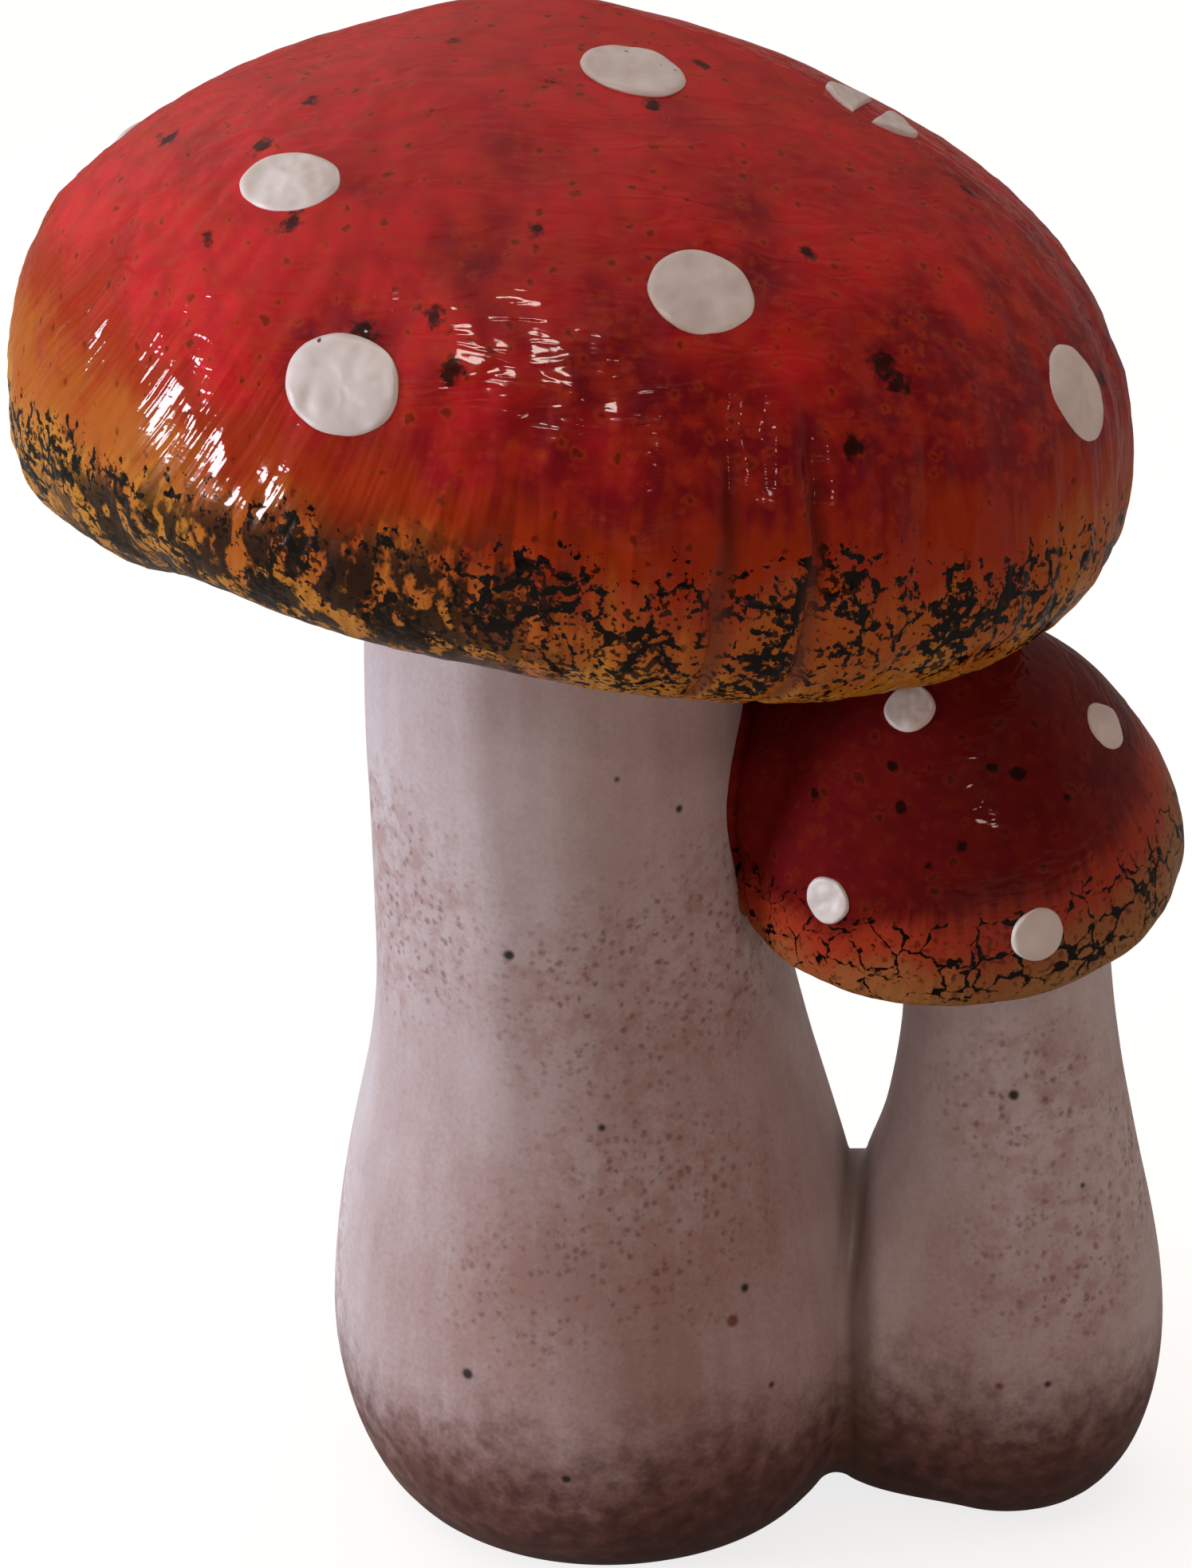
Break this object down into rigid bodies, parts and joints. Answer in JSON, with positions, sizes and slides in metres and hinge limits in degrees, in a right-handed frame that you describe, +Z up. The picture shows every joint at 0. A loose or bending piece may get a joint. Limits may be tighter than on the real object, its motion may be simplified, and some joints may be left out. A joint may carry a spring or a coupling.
{
  "type": "mushroom garden statue",
  "caption": "Free-standing ceramic toadstool pair, a small one luted to the side of a large one, with domed red caps, raised white spots and pale waisted stems.",
  "frame": {"origin": "middle of the pair's footprint box, on the ground", "axes": "+Z up, front of the pair towards -Y, small toadstool on the +X side"},
  "size_m": [0.1966, 0.179, 0.2734],
  "materials": {
    "red_glaze": "glossy red glaze running to orange and ochre at the rim, sponged with dark brown",
    "stem_glaze": "satin off-white glaze with fine pinkish brown freckles and a brown foot",
    "spot_glaze": "thick off-white glaze, slightly dented",
    "slip": "fired clay slip, smoothed by hand"
  },
  "bodies": {
    "root": {"large_stem": "stem_glaze", "small_stem": "stem_glaze", "stem_bridge": "slip", "cap_side_slip": "slip", "large_cap": "red_glaze", "large_cap_slip": "slip", "small_cap": "red_glaze", "small_cap_slip": "slip", "large_spot_1": "spot_glaze", "large_spot_2": "spot_glaze", "large_spot_3": "spot_glaze", "large_spot_4": "spot_glaze", "large_spot_5": "spot_glaze", "large_spot_6": "spot_glaze", "large_spot_7": "spot_glaze", "large_spot_8": "spot_glaze", "large_spot_9": "spot_glaze", "large_spot_10": "spot_glaze", "large_spot_11": "spot_glaze", "large_spot_12": "spot_glaze", "large_spot_13": "spot_glaze", "small_spot_1": "spot_glaze", "small_spot_2": "spot_glaze", "small_spot_3": "spot_glaze", "small_spot_4": "spot_glaze", "small_spot_5": "spot_glaze", "small_spot_6": "spot_glaze", "small_spot_7": "spot_glaze"}
  },
  "joints": []
}
